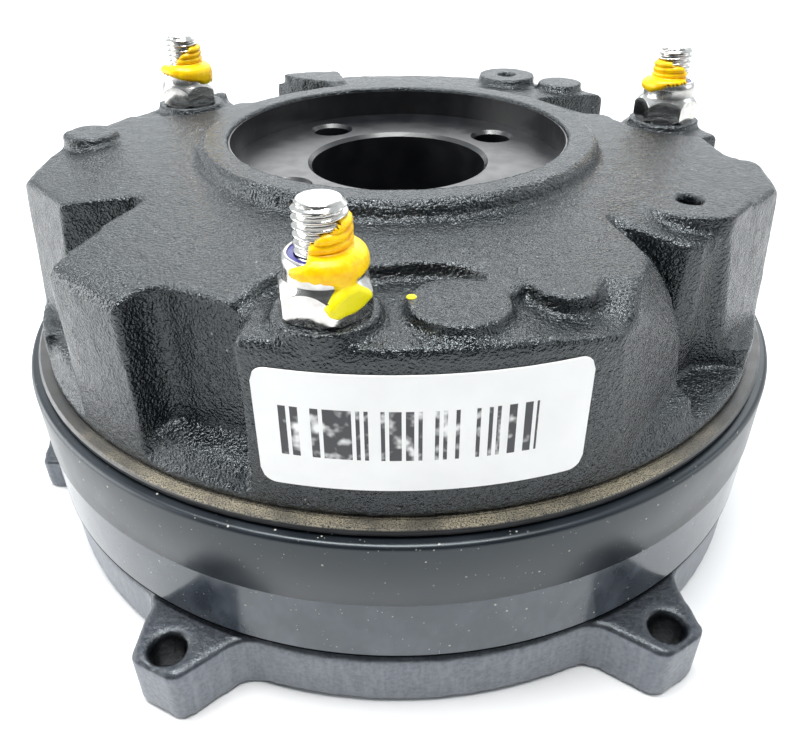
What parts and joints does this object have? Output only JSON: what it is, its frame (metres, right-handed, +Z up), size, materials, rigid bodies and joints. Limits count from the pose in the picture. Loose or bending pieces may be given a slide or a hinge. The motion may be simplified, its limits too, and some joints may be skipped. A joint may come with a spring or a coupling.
{
  "type": "spring applied brake",
  "caption": "Round spring applied motor brake: lugged friction plate, rubber sealing collar and a ribbed black cast magnet body held by studs with lock nuts.",
  "frame": {"origin": "on the shaft axis at the underside of the friction plate", "axes": "+Z up along the shaft axis from the motor towards the hub recess; the label on the front wall faces -Y"},
  "size_m": [0.1766, 0.1756, 0.0938],
  "materials": {
    "plate_iron": "dark grey coated cast iron, matt",
    "black_casting": "rough sand casting under satin black paint",
    "black_rubber": "smooth black rubber, half matt above and glossy below",
    "zinc_steel": "bright zinc plated",
    "blue_nylon": "blue nylon",
    "white_label": "white printed film",
    "machined_steel": "turned and milled steel",
    "spring_steel": "oiled spring steel",
    "friction_lining": "brown-grey friction lining",
    "former_plastic": "moulded plastic",
    "copper_wire": "lacquered copper wire",
    "potting_resin": "poured resin"
  },
  "bodies": {
    "brake": {"friction_plate": "plate_iron", "stud_1": "zinc_steel", "stud_2": "zinc_steel", "stud_3": "zinc_steel", "lock_nut_1": "zinc_steel", "lock_nut_2": "zinc_steel", "lock_nut_3": "zinc_steel", "nylon_ring_1": "blue_nylon", "nylon_ring_2": "blue_nylon", "nylon_ring_3": "blue_nylon", "counter_spring_1": "spring_steel", "counter_spring_2": "spring_steel", "counter_spring_3": "spring_steel", "pressure_ring_1": "spring_steel", "pressure_ring_2": "spring_steel", "pressure_ring_3": "spring_steel", "brake_spring_1": "spring_steel", "brake_spring_2": "spring_steel", "brake_spring_3": "spring_steel", "brake_spring_4": "spring_steel", "brake_spring_5": "spring_steel", "brake_spring_6": "spring_steel", "magnet_body": "black_casting", "coil_former": "former_plastic", "coil_winding": "copper_wire", "coil_resin": "potting_resin", "lead_grommet": "black_rubber", "sealing_collar": "black_rubber", "label": "white_label"},
    "pressure_plate": {"pressure_plate": "machined_steel", "damping_plate": "spring_steel"},
    "driver": {"driver": "machined_steel"},
    "brake_disc": {"disc_carrier": "machined_steel", "lining_lower": "friction_lining", "lining_upper": "friction_lining"}
  },
  "joints": [
    {"name": "air_gap", "type": "slide", "parent": "brake", "child": "pressure_plate", "axis": [0, 0, 1], "range_m": [0, 0.0006], "stiffness_N_per_m": 2000, "springref_m": -0.01, "deforming": ["brake_spring_1", "brake_spring_2", "brake_spring_3", "brake_spring_4", "brake_spring_5", "brake_spring_6"]},
    {"name": "driver_spin", "type": "hinge", "parent": "brake", "child": "driver", "pos_m": [0, 0, 0], "axis": [0, 0, 1], "continuous": true},
    {"name": "disc_float", "type": "slide", "parent": "driver", "child": "brake_disc", "axis": [0, 0, 1], "range_m": [0, 0.0003]}
  ],
  "couplings": [
    {"joint": "disc_float", "follows": "air_gap", "ratio": 0.5}
  ]
}
